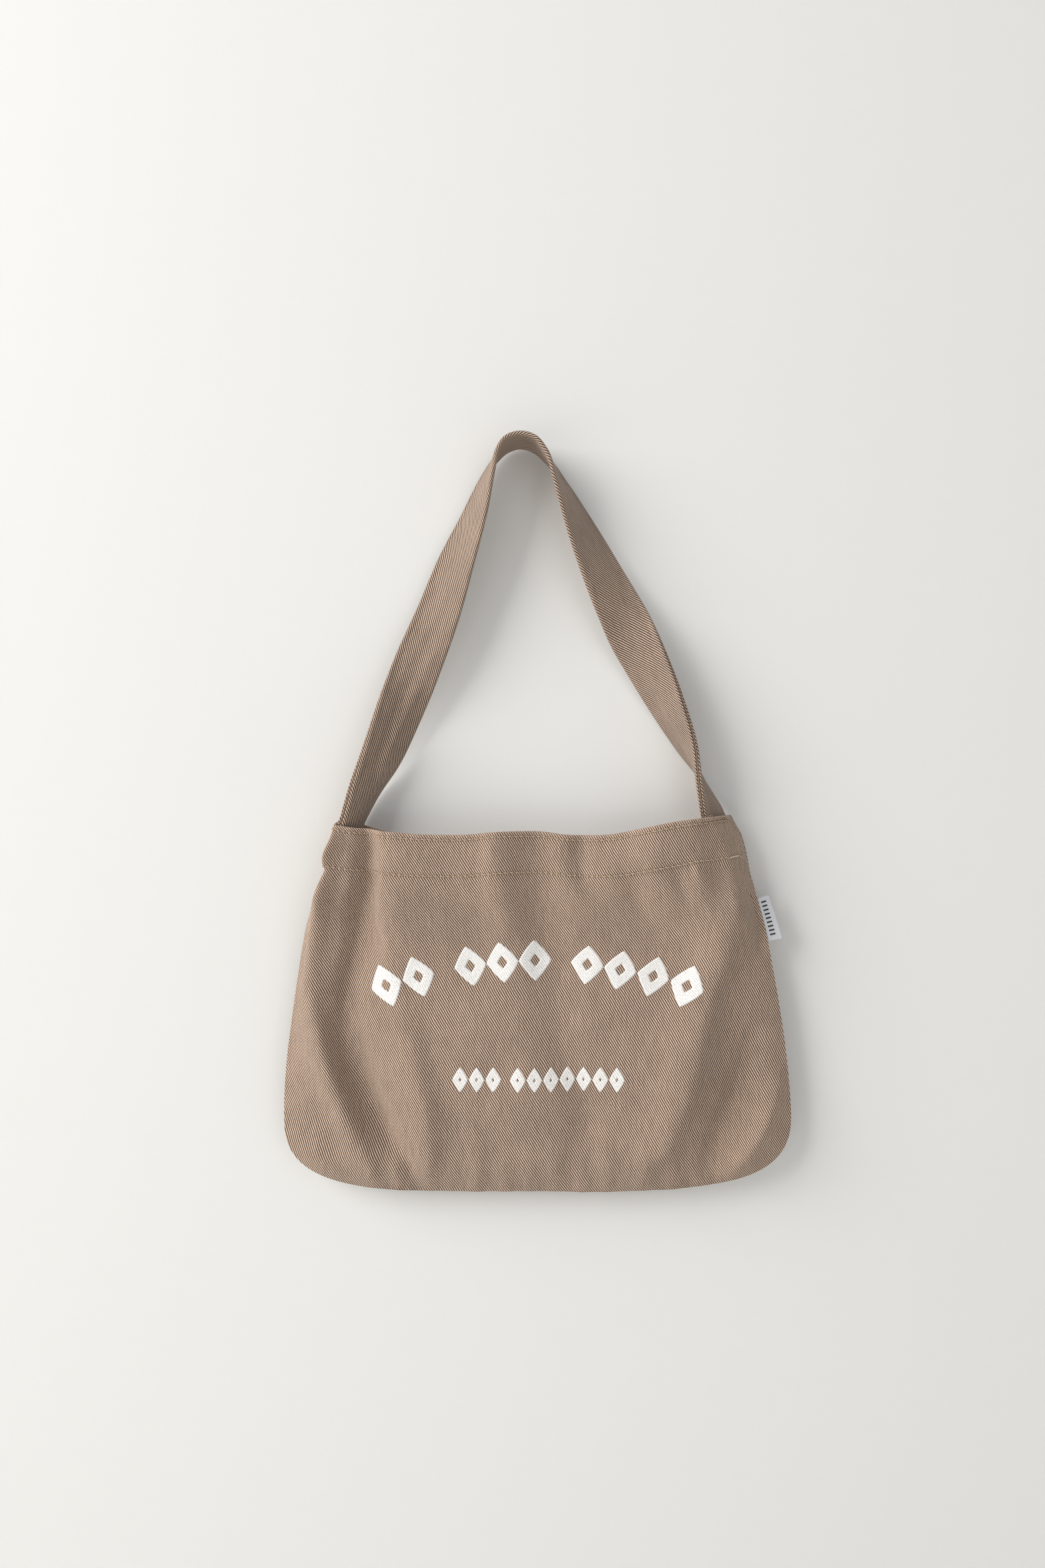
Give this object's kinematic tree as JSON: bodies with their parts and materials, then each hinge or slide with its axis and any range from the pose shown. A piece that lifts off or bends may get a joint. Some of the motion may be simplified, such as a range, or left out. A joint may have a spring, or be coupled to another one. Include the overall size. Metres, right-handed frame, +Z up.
{
  "type": "canvas tote bag",
  "caption": "Small flat twill shoulder tote with deep stitched hems, rounded bottom corners, one long sewn-in strap and a woven side label.",
  "frame": {"origin": "the underside of the strap's crest, where the peg or hook that holds the bag bears", "axes": "+Z up; +Y from the front of the bag towards what it hangs against; +X to the right of someone facing the front"},
  "size_m": [0.3202, 0.031, 0.4822],
  "materials": {
    "twill_cloth": "matt twill weave",
    "strap_cloth": "matt twill weave, creased",
    "sewing_thread": "soft sheen spun thread",
    "woven_label": "fine satin weave",
    "print_ink": "flat screen print"
  },
  "bodies": {
    "strap": {"strap": "strap_cloth", "strap_edge_stitch": "sewing_thread"},
    "bag": {"back_panel": "twill_cloth", "back_hem_ply": "twill_cloth", "back_hem_top_stitch": "sewing_thread", "back_hem_low_stitch": "sewing_thread", "seam_stitch": "sewing_thread", "seam_allowance": "twill_cloth", "seam_overlock": "sewing_thread", "strap_end_left": "strap_cloth", "strap_end_right": "strap_cloth", "strap_tack_left": "sewing_thread", "strap_tack_right": "sewing_thread"},
    "front": {"front_panel": "twill_cloth", "front_hem_ply": "twill_cloth", "front_hem_top_stitch": "sewing_thread", "front_hem_low_stitch": "sewing_thread"},
    "label": {"side_label": "woven_label"}
  },
  "joints": [
    {"name": "strap_fold", "type": "hinge", "parent": "strap", "child": "bag", "pos_m": [0, -0.0008, -0.226], "axis": [1, 0, 0], "range_deg": [-90, 90]},
    {"name": "mouth_open", "type": "hinge", "parent": "bag", "child": "front", "pos_m": [0, 0, -0.479], "axis": [1, 0, 0], "range_deg": [0, 18], "stiffness_Nm_per_rad": 0.5, "springref_deg": -3.44},
    {"name": "label_flap", "type": "hinge", "parent": "bag", "child": "label", "pos_m": [0.14597, 0, -0.309], "axis": [-0.2367, 0, 0.9716], "range_deg": [-70, 70], "stiffness_Nm_per_rad": 0.001}
  ]
}
